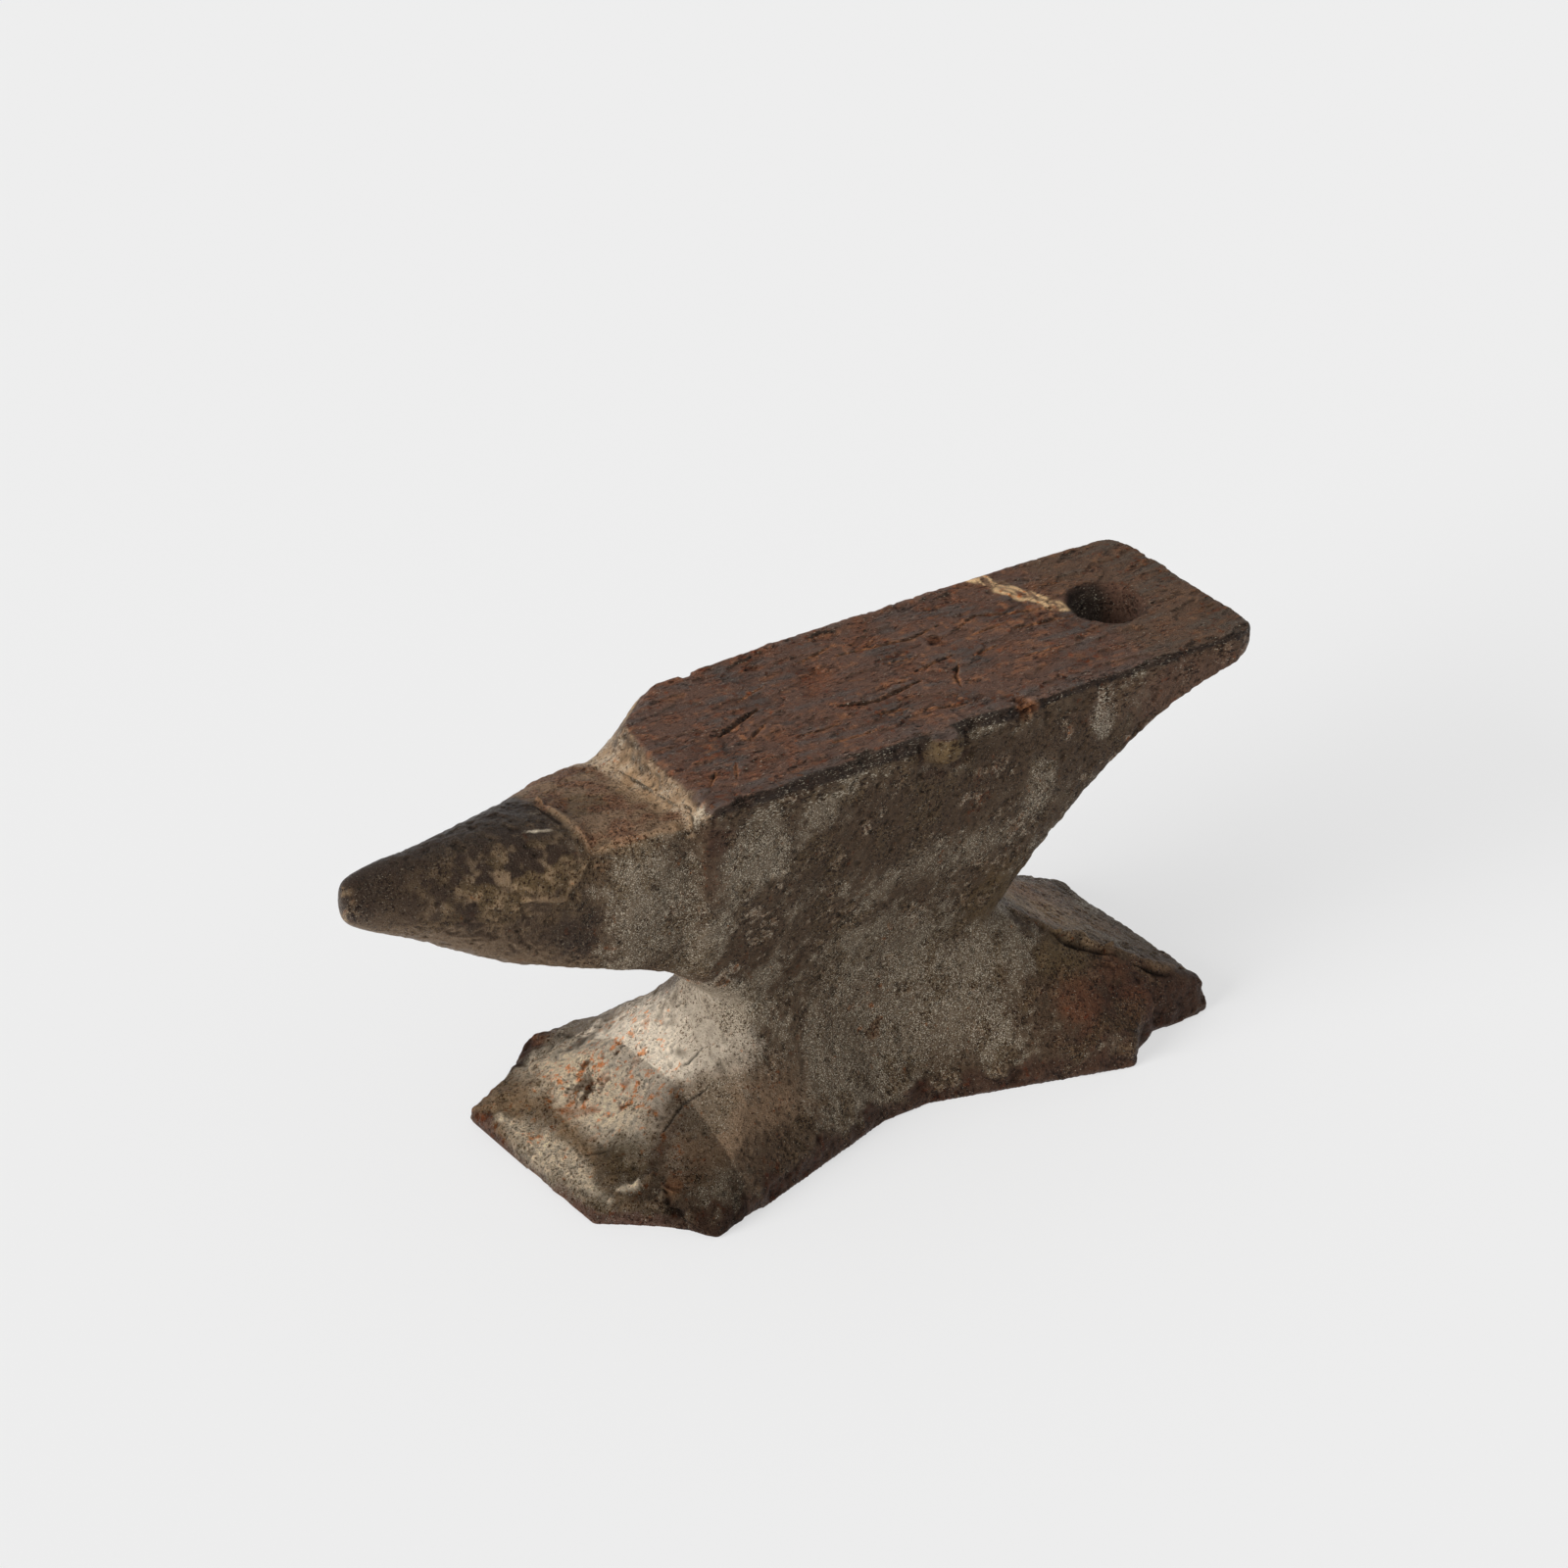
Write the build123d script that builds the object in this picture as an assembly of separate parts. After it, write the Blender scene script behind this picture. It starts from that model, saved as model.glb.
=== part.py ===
from build123d import *

import os
from math import copysign, cos, pi, sin

# A worn smith's anvil of forge-welded wrought iron, faced with steel.
#
# The iron body is seven forgings: a core, four corners that spread the base, a heel and a beak.
# Three steel plates are welded on top as the face.  The whole outer form is made once, as the
# smith dressed it, and is then divided along the welds, so that neighbours meet face to face.
#
# Frame: millimetres, +X along the face towards the heel, +Y to the far side, +Z up, and the
# origin at the middle of the base's underside.  Left is +Y and right is -Y.

# ---------------------------------------------------------------- driving dimensions
HEIGHT = 135.0  # floor to face
FACE_WIDTH = 76.0
HEEL_END = 134.5
PLATE_THICKNESS = 9.5  # steel facing
BEAK_WELD = -76.0  # X of the weld between core and beak, where the face steps down
WAIST_Z = 52.0

HOLE_X = 104.0
HOLE_Y = 2.0
HOLE_RADIUS = 12.0

HALF_FACE = FACE_WIDTH / 2
PLATE_Z = HEIGHT - PLATE_THICKNESS
SPAN = 400.0  # longer than the anvil in every direction

# Corners of the anvil, in order round it, seen from above: where the base's edge meets the
# floor (x, y), the height of that edge, the waist (x, y), and how sharply the foot curves up
# into the waist, where 1 is a straight slope.
CORNERS = [
    ((-84, 59.5), 6.0, (-48, 13), 1.75),
    ((-93, 48.5), 6.0, (-53, 9), 1.7),
    ((-117.5, 36), 5.5, (-57, 5), 1.8),
    ((-117, -34), 5.5, (-59, -14), 1.8),
    ((-89.5, -64), 7.0, (-52, -24), 1.4),
    ((-9, -38), 8.0, (-9, -25), 2.0),
    ((9, -37.5), 8.0, (5, -25), 2.0),
    ((76, -57), 9.0, (38, -24), 1.5),
    ((93, -45), 15.0, (46, -21), 1.2),
    ((116.5, -42.5), 12.0, (49, -14), 1.2),
    ((116.5, 37), 10.0, (49, 8), 1.15),
    ((111, 52), 7.0, (45, 17), 1.1),
    ((70, 56), 7.0, (36, 19), 1.6),
    ((9, 38), 8.0, (5, 20), 2.0),
    ((-9, 38), 8.0, (-9, 20), 2.0),
    ((-72, 60), 7.0, (-42, 18), 1.75),
]


def loft_through(outlines):
    return Solid.make_loft([Wire(outline.edges()) for outline in outlines], ruled=True)


# ---------------------------------------------------------------- base
EDGE_DRAFT = 0.15  # lean of the edge round the base, per unit of its height
BASE_LEVELS = 6


def floor_section():
    return Polyline(*[(x, y, 0) for (x, y), _, _, _ in CORNERS], close=True)


def base_section(rise):
    """Outline of the feet, with rise 0 at the top of the base's edge and 1 at the waist."""
    points = []
    for (foot_x, foot_y), edge, (waist_x, waist_y), curve in CORNERS:
        inward = Vector(waist_x - foot_x, waist_y - foot_y).normalized() * (EDGE_DRAFT * edge)
        spread = (1 - rise) ** curve
        x = waist_x + (foot_x + inward.X - waist_x) * spread
        y = waist_y + (foot_y + inward.Y - waist_y) * spread
        points.append((x, y, edge + (WAIST_Z - edge) * rise))
    return Polyline(*points, close=True)


def base_form():
    levels = [base_section(i / BASE_LEVELS) for i in range(BASE_LEVELS + 1)]
    return loft_through([floor_section(), *levels])


# ---------------------------------------------------------------- block above the waist
BLOCK_LEVELS = 10
BLOCK_END = 127.0  # the heel's iron runs out to a thin edge here, under its face plate
HEEL_REACH = 92.0  # how far the heel's underside runs out from the waist
HEEL_CURVE = 1.45  # fullness of that underside, a quarter of a superellipse
KEEL_REACH = 1.12  # how much further out the middle of the underside runs than its sides
KEEL_WIDTH = 0.58  # width of that middle, as a share of the face's
THROAT_SLOPE = 1.0  # how far the throat under the beak runs out per unit of height
END_X = 30.0  # corners of the waist further out than this run out into the heel or the throat
KEEL_X = 47.0  # and those further out than this into the middle of the heel's underside


def block_section(rise):
    """Outline of the block, with rise 0 at the waist and 1 under the face plates."""
    z = WAIST_Z + (PLATE_Z - WAIST_Z) * rise
    heel_out = HEEL_REACH * (1 - (1 - rise**HEEL_CURVE) ** 0.5)
    throat_out = THROAT_SLOPE * (z - WAIST_Z)
    spread = sin(rise * pi / 2)
    points = []
    for _, _, (waist_x, waist_y), _ in CORNERS:
        x, side = waist_x, copysign(HALF_FACE, waist_y)
        if waist_x > KEEL_X:
            x, side = x + KEEL_REACH * heel_out, side * KEEL_WIDTH
        elif waist_x > END_X:
            x += heel_out
        elif waist_x < -END_X:
            x -= throat_out
        points.append((x, waist_y + (side - waist_y) * spread, z))
    return Polyline(*points, close=True)


def block_form():
    """Block with the curved undersides of heel and throat, cut square at both ends."""
    levels = [block_section(sin(i / BLOCK_LEVELS * pi / 2)) for i in range(BLOCK_LEVELS + 1)]
    between_ends = Pos((BEAK_WELD + BLOCK_END) / 2, 0, HEIGHT / 2) * Box(
        BLOCK_END - BEAK_WELD, SPAN, HEIGHT
    )
    return loft_through(levels) & between_ends


# ---------------------------------------------------------------- face
HEEL_CORNER = 8.0


def face_form():
    """Steel facing over the whole block, with rounded corners at the heel's end."""
    length = HEEL_END - BEAK_WELD
    slab = Pos(BEAK_WELD + length / 2, 0, PLATE_Z + PLATE_THICKNESS / 2) * Box(
        length, FACE_WIDTH, PLATE_THICKNESS
    )
    corners = slab.edges().filter_by(Axis.Z).group_by(Axis.X)[-1]
    return fillet(corners, HEEL_CORNER)


# ---------------------------------------------------------------- beak
# Sections from the weld to the tip: x, half width, top, bottom, squareness (2 is an ellipse),
# and how far the top leans down to the far side.
BEAK_SECTIONS = [
    (BEAK_WELD, 35.0, 130.5, 69.0, 9.0, 9.5),
    (-88.0, 34.0, 130.5, 76.0, 7.0, 8.5),
    (-102.0, 31.0, 130.2, 79.5, 4.5, 7.0),
    (-118.0, 25.0, 130.0, 82.2, 2.8, 3.5),
    (-140.0, 18.0, 130.2, 90.7, 2.1, 1.5),
    (-160.0, 11.7, 128.4, 102.0, 2.0, 0.0),
    (-181.0, 5.8, 125.6, 113.8, 2.0, 0.0),
]
BEAK_TUCK = 0.2  # how much narrower the squarest section is at its bottom than at its top
SECTION_POINTS = 32
TIP_ROUND = 4.5


def beak_section(x, half, top, bottom, squareness, lean):
    middle, reach = (top + bottom) / 2, (top - bottom) / 2
    tuck = BEAK_TUCK * (squareness - 2) / (BEAK_SECTIONS[0][4] - 2)
    points = []
    for i in range(SECTION_POINTS):
        angle = 2 * pi * (i + 0.5) / SECTION_POINTS
        c, s = cos(angle), sin(angle)
        y = half * abs(c) ** (2 / squareness) * (1 if c > 0 else -1)
        z = reach * abs(s) ** (2 / squareness) * (1 if s > 0 else -1)
        height = (z + reach) / (2 * reach)
        across = (y + half) / (2 * half)
        points.append((x, y * (1 - tuck * (1 - height)), middle + z - lean * height * across))
    return Wire(Spline(*points, periodic=True).edges())


def beak_form():
    cone = Solid.make_loft([beak_section(*section) for section in BEAK_SECTIONS])
    tip = cone.edges().sort_by(Axis.X)[0]
    return cone.fillet(TIP_ROUND, [tip])


# ---------------------------------------------------------------- worn corner
# The face's corner beside the beak, on the left, is worn away to two bevels, the second steeper
# than the first, each through three points.
WORN_CORNER = [
    [(-44, 38, HEIGHT), (-60, 38, 128), (-64, 24, HEIGHT)],
    [(-60, 38, 128), (-74, 38, 114.5), (-72, 20, HEIGHT)],
]
BEVEL_DEPTH = 60.0  # more than the bevels take off


def bevel(points):
    """Everything above the plane through three points."""
    a, b, c = [Vector(*point) for point in points]
    outward = (b - a).cross(c - a).normalized()
    bottom_centre = (Align.CENTER, Align.CENTER, Align.MIN)
    return Plane(origin=a, z_dir=outward) * Box(SPAN, SPAN, BEVEL_DEPTH, align=bottom_centre)


def worn_corner():
    first, second = [bevel(points) for points in WORN_CORNER]
    return first + second


# ---------------------------------------------------------------- welds
FOOT_WELD_Z = 42.0  # top of the corner forgings
CORE_FOOT = [(-66, 52), (-40, 28)]  # ends of the core, at the top and the bottom of that weld
CORE_SIDE = [(-30, 26), (-16, 12)]  # sides of the core, likewise
FOOT_SPLIT_X, FOOT_SPLIT_Y = -2.0, -3.0  # welds between neighbouring corner forgings
HEEL_WELD = [(54, 60), (74, PLATE_Z)]  # (x, z) of the slanting weld between core and heel
FRONT_SEAM_X = 44.0
HEEL_SEAM_X, HEEL_SEAM_SLANT = 89.6, -0.322  # seam beside the hole: x there, and dx per dy


def slab_between(low, high):
    """Everything between two heights."""
    return Pos(0, 0, (low + high) / 2) * Box(SPAN, SPAN, high - low)


def core_wedge():
    """The core's own foot, which narrows downwards between the corner forgings."""
    outlines = []
    for (x0, x1), (y0, y1), z in zip(CORE_FOOT, CORE_SIDE, (FOOT_WELD_Z, 0)):
        outlines.append(Polyline((x0, y0, z), (x1, y0, z), (x1, y1, z), (x0, y1, z), close=True))
    return loft_through(outlines)


def quadrant(sign_x, sign_y):
    middle = Pos(FOOT_SPLIT_X, FOOT_SPLIT_Y, 0)
    return middle * Pos(sign_x * SPAN / 2, sign_y * SPAN / 2, 0) * Box(SPAN, SPAN, SPAN)


def feet(base):
    """The four corner forgings, each welded to the core and to two neighbours."""
    ring = base & slab_between(0, FOOT_WELD_Z) - core_wedge()
    ends, sides = {"front": -1, "rear": 1}, {"left": 1, "right": -1}
    return {
        f"{end}_{side}_foot": ring & quadrant(ends[end], sides[side])
        for end in ends
        for side in sides
    }


def beyond_line(start, end, plane):
    """Everything on the +X side of a line drawn across a plane."""
    (x0, v0), (x1, v1) = start, end
    slope = (x1 - x0) / (v1 - v0)
    low, high = x0 - slope * (v0 + SPAN), x0 + slope * (SPAN - v0)
    area = Polyline((low, -SPAN), (SPAN, -SPAN), (SPAN, SPAN), (high, SPAN), close=True)
    return extrude(plane * make_face(area), SPAN, both=True)


def hole():
    return Pos(HOLE_X, HOLE_Y, HEIGHT / 2 + WAIST_Z) * Cylinder(HOLE_RADIUS, HEIGHT)


def face_plates(face):
    front = beyond_line((FRONT_SEAM_X, 0), (FRONT_SEAM_X, 1), Plane.XY)
    heel = beyond_line(
        (HEEL_SEAM_X, HOLE_Y), (HEEL_SEAM_X + HEEL_SEAM_SLANT, HOLE_Y + 1), Plane.XY
    )
    return {
        "face_plate_front": face - front,
        "face_plate_middle": face & front - heel,
        "face_plate_heel": face & heel - hole(),
    }


def forgings():
    base, block = base_form(), block_form()
    corner = worn_corner()
    heel = beyond_line(*HEEL_WELD, Plane.XZ)
    foot = base - slab_between(0, FOOT_WELD_Z) + (base & core_wedge())
    return {
        "core": foot + (block - heel) - corner,
        **feet(base),
        "heel": block & heel - hole(),
        "beak": beak_form(),
        **face_plates(face_form() - corner),
    }


if __name__ == "__main__":
    os.makedirs("parts", exist_ok=True)
    for name, shape in forgings().items():
        export_step(shape, f"parts/{name}.step")
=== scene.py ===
from itertools import product
from math import cos, radians, sin
from types import SimpleNamespace

import bpy
import numpy as np
from mathutils import Euler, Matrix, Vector
from mathutils.kdtree import KDTree


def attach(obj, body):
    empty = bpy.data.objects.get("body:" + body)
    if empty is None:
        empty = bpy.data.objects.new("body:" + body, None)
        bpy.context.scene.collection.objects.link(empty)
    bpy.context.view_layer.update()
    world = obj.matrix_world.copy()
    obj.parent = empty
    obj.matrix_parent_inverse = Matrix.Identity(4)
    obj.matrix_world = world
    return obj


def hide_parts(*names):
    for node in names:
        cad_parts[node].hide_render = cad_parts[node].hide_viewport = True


# The worn iron skin of the anvil.  One skin is grown over all the CAD nodes, so that its dents,
# cuts and colours run on across the welds, and is then divided along the same welds into one
# closed piece per node.  Lengths in this script are millimetres until a mesh is made.

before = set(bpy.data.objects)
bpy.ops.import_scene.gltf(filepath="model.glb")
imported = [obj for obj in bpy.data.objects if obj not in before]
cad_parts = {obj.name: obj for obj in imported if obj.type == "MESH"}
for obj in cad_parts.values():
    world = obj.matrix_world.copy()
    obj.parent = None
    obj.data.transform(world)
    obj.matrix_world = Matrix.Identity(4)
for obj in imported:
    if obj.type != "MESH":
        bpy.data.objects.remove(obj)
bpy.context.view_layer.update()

MM = 0.001
VOXEL = 0.55
FIRST_VOXEL = 1.3 * VOXEL
SEED = 7

# ---------------------------------------------------------------- sizes shared with the CAD
FACE_Z = 135.0
PLATE_Z = 125.5  # underside of the face plates
HALF_FACE = 38.0
HEEL_END = 134.5
BEAK_WELD = -76.0
FRONT_SEAM_X = 44.0
HOLE = (104.0, 2.0)
HEEL_SEAM_X, HEEL_SEAM_SLANT = 89.6, -0.322
HEEL_WELD = [(54.0, 60.0), (74.0, PLATE_Z)]  # (x, z) of two points on it
WAIST_Z = 52.0  # where the heel starts
FOOT_WELD_Z = 42.0
FOOT_SPLIT = (-2.0, -3.0)  # (x, y) where the four feet meet
# Corners of the core between the feet: at the top of their welds, and just under the floor.
CORE_TOP = [(-66, -30), (52, -30), (52, 26), (-66, 26)]
CORE_BOTTOM = [(-40, -16), (28, -16), (28, 12), (-40, 12)]
CORE_BOTTOM_Z = -1.0
FAR = 300.0  # well outside the anvil
UNDERGROUND = -10.0

FEET = {
    "front_left_foot": (-1, 1),
    "front_right_foot": (-1, -1),
    "rear_left_foot": (1, 1),
    "rear_right_foot": (1, -1),
}
PLATES = ["face_plate_front", "face_plate_middle", "face_plate_heel"]


# ---------------------------------------------------------------- small mathematics
def ramp(value, low, high):
    """0 below low, 1 above high, and smooth between."""
    t = np.clip((value - low) / (high - low), 0, 1)
    return t * t * (3 - 2 * t)


def blob(points, centre, radius):
    """1 at the centre, falling away over radius, which may differ along x, y and z."""
    away = (points - np.array(centre)) / np.array(radius)
    return np.exp(-(away**2).sum(axis=1))


LATTICE_SIZE = 64
LATTICE = np.random.default_rng(SEED).uniform(-1, 1, (LATTICE_SIZE,) * 3)
TURN = np.array(Euler((0.6, 0.4, 0.9)).to_matrix())


def noise(points, size, shift=0.0):
    """Smooth noise from -1 to 1 with lumps about size across.  A shift gives another pattern."""
    grid = points @ TURN / size + shift
    cell = np.floor(grid).astype(int)
    part = grid - cell
    part = part * part * (3 - 2 * part)
    total = np.zeros(len(points))
    for corner in product((0, 1), repeat=3):
        share = np.where(corner, part, 1 - part).prod(axis=1)
        i, j, k = ((cell + corner) % LATTICE_SIZE).T
        total += share * LATTICE[i, j, k]
    return total


def fractal(points, size, octaves=3, shift=0.0):
    """Noise with finer and weaker noise added, each octave half as large as the one before."""
    return sum(noise(points, size / 2**i, shift + 11 * i) / 2**i for i in range(octaves))


# ---------------------------------------------------------------- meshes
def mesh_object(name, points, faces):
    mesh = bpy.data.meshes.new(name)
    mesh.from_pydata(np.asarray(points, float) * MM, [], faces)
    made = bpy.data.objects.new(name, mesh)
    bpy.context.scene.collection.objects.link(made)
    return made


def remove(piece):
    bpy.data.objects.remove(piece)


def read_points(mesh):
    points = np.empty(len(mesh.vertices) * 3, np.float32)
    mesh.vertices.foreach_get("co", points)
    return points.reshape(-1, 3).astype(float) / MM


def write_points(mesh, points):
    mesh.vertices.foreach_set("co", (points * MM).astype(np.float32).ravel())
    mesh.update()


def read_normals(mesh):
    normals = np.empty(len(mesh.vertices) * 3, np.float32)
    mesh.vertex_normals.foreach_get("vector", normals)
    return normals.reshape(-1, 3).astype(float)


def read_edges(mesh):
    edges = np.empty(len(mesh.edges) * 2, np.int32)
    mesh.edges.foreach_get("vertices", edges)
    return edges.reshape(-1, 2)


def baked(piece):
    """The piece's mesh with its modifiers applied, which are then taken off."""
    graph = bpy.context.evaluated_depsgraph_get()
    mesh = bpy.data.meshes.new_from_object(piece.evaluated_get(graph))
    piece.modifiers.clear()
    piece.data = mesh
    return piece


def remeshed(piece, voxel):
    step = piece.modifiers.new("remesh", "REMESH")
    step.mode = "VOXEL"
    step.voxel_size = voxel * MM
    return baked(piece)


def combined(piece, cutters, operation):
    """The piece after each cutter is intersected with it or taken off it."""
    for cutter in cutters:
        step = piece.modifiers.new("cut", "BOOLEAN")
        step.operation = operation
        step.solver = "MANIFOLD"
        step.object = cutter
    return baked(piece)


def frustum(name, bottom, top):
    """Closed solid between two rings of as many points, both anticlockwise from above."""
    n = len(bottom)
    sides = [(i, (i + 1) % n, n + (i + 1) % n, n + i) for i in range(n)]
    ends = [tuple(reversed(range(n))), tuple(range(n, 2 * n))]
    return mesh_object(name, [*bottom, *top], [*ends, *sides])


def prism(name, outline, low, high):
    """Upright prism over an outline, given anticlockwise as (x, y) points."""
    return frustum(name, [(x, y, low) for x, y in outline], [(x, y, high) for x, y in outline])


def ellipsoid(name, centre, radii):
    bpy.ops.mesh.primitive_ico_sphere_add(subdivisions=4, radius=1.0)
    made = bpy.context.object
    made.name = name
    points = read_points(made.data) * MM
    write_points(made.data, points * np.array(radii) + np.array(centre))
    return made


def joined(name, pieces):
    points, faces, count = [], [], 0
    for piece in pieces:
        own = read_points(piece.data)
        points.append(own)
        faces += [tuple(count + v for v in face.vertices) for face in piece.data.polygons]
        count += len(own)
    return mesh_object(name, np.vstack(points), faces)


# ---------------------------------------------------------------- marks on the surface
# Each mark is (width, depth, points along it).  A negative depth stands proud.
MARKS = {
    "cut": [
        (0.6, 0.7, [(12, 21, 135), (38, 17, 135), (50, 19, 135)]),
        (0.6, 0.7, [(56, 15, 135), (64, 18, 135), (74, 13, 135), (88, 9, 135)]),
        (0.5, 0.5, [(54, 8, 135), (70, 9, 135)]),
        (0.5, 0.5, [(68, 5, 135), (90, 1, 135)]),
        (0.9, 1.1, [(-47, -1, 135), (-27, 7, 135)]),
        (0.6, 0.8, [(-40, -8, 135), (-30, -2, 135)]),
        (0.6, 0.7, [(-27, -15, 135), (-11, -15, 135)]),
        (0.8, 1, [(-6, -6, 135), (6, -10, 135), (25, -7, 135)]),
        (0.6, 0.7, [(27, -1, 135), (44, 1, 135)]),
        (0.6, 0.8, [(33, -17, 135), (36, -10, 135), (41, -5, 135)]),
        (0.6, 0.7, [(13, -22, 135), (30, -27, 135)]),
        (0.5, 0.5, [(-66, -25, 135), (-60, -19, 135)]),
        (0.5, 0.5, [(-57, -26, 135), (-52, -18, 135)]),
        (0.4, 0.4, [(-20, -24, 135), (-4, -25, 135)]),
        (0.4, 0.4, [(-30, 14, 135), (-16, 18, 135)]),
        (0.4, 0.5, [(48, -3, 135), (60, -1, 135)]),
        (0.4, 0.4, [(60, -12, 135), (74, -14, 135)]),
        (0.4, 0.5, [(-2, 24, 135), (16, 27, 135)]),
        (0.4, 0.5, [(20, 9, 135), (34, 6, 135)]),
        (0.4, 0.4, [(2, -17, 135), (12, -19, 135)]),
    ],
    "pit": [
        (3.4, 1.1, [(42, 11, 135), (46, 13, 135)]),
        (5.5, 0.9, [(-8, 5, 135), (0, 11, 135), (2, 18, 135)]),
        (2.6, 1, [(-16, 30, 135), (-12, 30, 135)]),
        (3.2, 2.6, [(41, -38.5, 135), (46, -38.5, 133)]),
        (2.6, 1.2, [(41, -33, 135), (45, -35, 135)]),
        (3, 1.8, [(-37, 39, 135), (-31, 39, 135)]),
    ],
    "crack": [
        (0.5, 0.8, [(-65, -18.5, 38), (-70, -17.5, 33.5), (-72, -16, 31.5)]),
        (0.6, 1, [(-69.5, -28.5, 30), (-78, -26, 25.5), (-85, -28, 20.5), (-89, -29, 18)]),
        (0.5, 0.7, [(-107.5, -13.5, 10), (-104, -16, 11.5), (-101, -19.5, 13)]),
        (0.9, 1.2, [(-109, 8, 126), (-109.5, -8, 127.5), (-110.5, -22, 125.5)]),
        (0.8, 1, [(-112, -26, 121), (-118, -26, 112.5), (-130, -21, 112)]),
        (1.3, 2.2, [(63, -22, 38.5), (69, -27, 34.5), (78, -29.5, 29.5), (86, -31.5, 25.5)]),
        (1, 1.6, [(91, -35, 22), (98.5, -38.5, 17.5), (108, -39, 13)]),
        (2.8, 2.6, [(-97.5, -47.5, 7.5), (-95.5, -53, 3.5)]),
    ],
    "lip": [
        (1.8, -1.4, [(-106.5, 9, 126), (-107, -7, 127.5), (-107.5, -19.5, 127), (-109, -24, 124)]),
        (1.8, -1.3, [(-109, -24, 124), (-114, -25, 119), (-118, -24.5, 113.5), (-130, -20, 114.5)]),
        (2.6, -1.8, [(-76, -35.5, 132), (-84, -31, 129.5), (-95, -29, 128), (-108, -25, 126)]),
        (1.8, -0.9, [(53, -17, 48), (62.5, -20, 41.5), (68, -24.5, 36.5)]),
        (2, -1.4, [(68, -24.5, 36.5), (79, -22, 31.5), (78.5, -27, 31.5), (86, -28.5, 27.5)]),
        (2, -1.1, [(86, -28.5, 27.5), (91, -31.5, 24.5), (98.5, -36, 20), (111, -36, 14)]),
        (1.8, -2.2, [(-99.5, -51.5, 3), (-98.5, -47, 7.5), (-97, -43.5, 11)]),
        (1.8, -2.4, [(-96.5, -43.5, 11), (-93.5, -50, 7.5), (-92, -56, 4), (-90.5, -60.5, 2)]),
        (1.6, -1.2, [(-104, -36, 10), (-99, -38.5, 11.5), (-96, -37, 13)]),
    ],
    "notch": [
        (2.6, 2.6, [(21, -37.5, 135), (26, -37.5, 135)]),
        (2.5, 1.8, [(-65, -38, 135), (-60, -38, 135)]),
        (2.5, 1.2, [(-20, -38, 135), (-12, -38, 135)]),
    ],
    "stain": [
        (2.6, 0.5, [(-73, -38, 132), (-73.5, -38, 120), (-74.5, -37.5, 110), (-74.5, -36, 99)]),
        (2, 0.6, [(2.5, -38, 133), (4, -38, 124), (12, -38, 120.5), (20, -38, 125), (20, -38, 133)]),
        (3, 0.2, [(-80, -29, 27), (-88, -31, 19), (-96, -36, 12)]),
    ],
    "rust": [
        (2.2, 0.2, [(-84, -2.5, 22.5), (-83, -3.5, 23)]),
        (2.4, 0.2, [(-88, 4.5, 20), (-86, 7, 21)]),
        (1.6, 0.2, [(-96, 22, 14), (-94, 25, 15)]),
        (1.4, 0.2, [(-90, 30, 17), (-88, 31, 18)]),
        (1.6, 0.2, [(-102, -12, 11), (-100, -10, 12)]),
        (1.8, 0.2, [(-78.5, 2.5, 26), (-77, -1, 27.5)]),
        (2.4, 0.2, [(-101.5, 9.5, 12.5), (-96, 0.5, 15.5), (-93.5, -4, 17)]),
        (2, 0.2, [(-69, 10, 33), (-67, 8, 34)]),
        (3.2, 0.2, [(41.5, -37, 134.5), (46.5, -37, 134)]),
        (1.5, 0.2, [(-90, -8, 18.5), (-88.5, -9, 19.5)]),
        (2.6, 0.1, [(-96, -42, 10), (-90, -47, 9)]),
    ],
    "cream": [
        (0.5, -0.1, [(-121.5, -7.5, 128.5), (-117.5, -9.5, 128.5), (-113, -12, 128)]),
        (4.4, -0.4, [(-114, 24, 7), (-113.5, 9, 7), (-113.5, -4, 7), (-113, -20.5, 7), (-111, -35, 7)]),
        (1.2, -0.3, [(-107.5, -34, 9), (-103, -37, 10), (-100, -35.5, 12)]),
        (1, -0.2, [(-94.5, -46.5, 9), (-93, -53, 5.5)]),
        # A painted highlight on the near corner of the step down to the table.
        (3, 0, [(-76, -34.5, 133), (-76.5, -31, 132.5)]),
    ],
}
BEAD, BEAD_SIZE = (11.5, -38.5, 131), (6, 5.5, 6)  # on the near side, under the face's edge
# Pieces broken off the base, as plan outlines: the near front corner and the near rear corner.
CHIPS = [
    [(-116, -35), (-125, -60), (-97, -75), (-91, -62), (-95, -53.5), (-99, -48.5), (-108, -41)],
    [(93, -43), (89, -46.5), (82.5, -49.5), (80.5, -52), (76, -57), (90, -75), (130, -75), (130, -46)],
]
CHIP_TOP = 30.0

# The face's front edge as x at each y, the table beyond it as z at each y.
FACE_EDGE = [(-38, -74), (-16, -72), (8, -70), (22, -66), (28, -60), (35, -52), (40, -44)]
TABLE_TOP = [(-35.5, 131.5), (0, 128.6), (18, 125.8), (29, 121), (38, 113)]
STEP_CURVE = 1.7  # 1 is a straight slope

GROWTH = 0.3  # makes up for what smoothing takes off
EDGE_REACH, STEP_REACH = 2.3, 1.7  # how far the edges and the step are smoothed

# Worn mouth of the hole, an ellipse on the face.
MOUTH_RADII = (12.3, 14.4)
MOUTH_SLOPE = 20.0  # how far it falls from its rim to its middle, if it went on that far
MOUTH_WIDTH = 0.35  # the share of the ellipse's radius over which it falls

# The worn edges of the face, as a long blob on each: its centre and its radius.
NEAR_EDGE, NEAR_EDGE_REACH = (30, -HALF_FACE, FACE_Z), (112, 3.2, 3.2)
FAR_EDGE, FAR_EDGE_REACH = (36, HALF_FACE, FACE_Z), (80, 3, 4)

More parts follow.
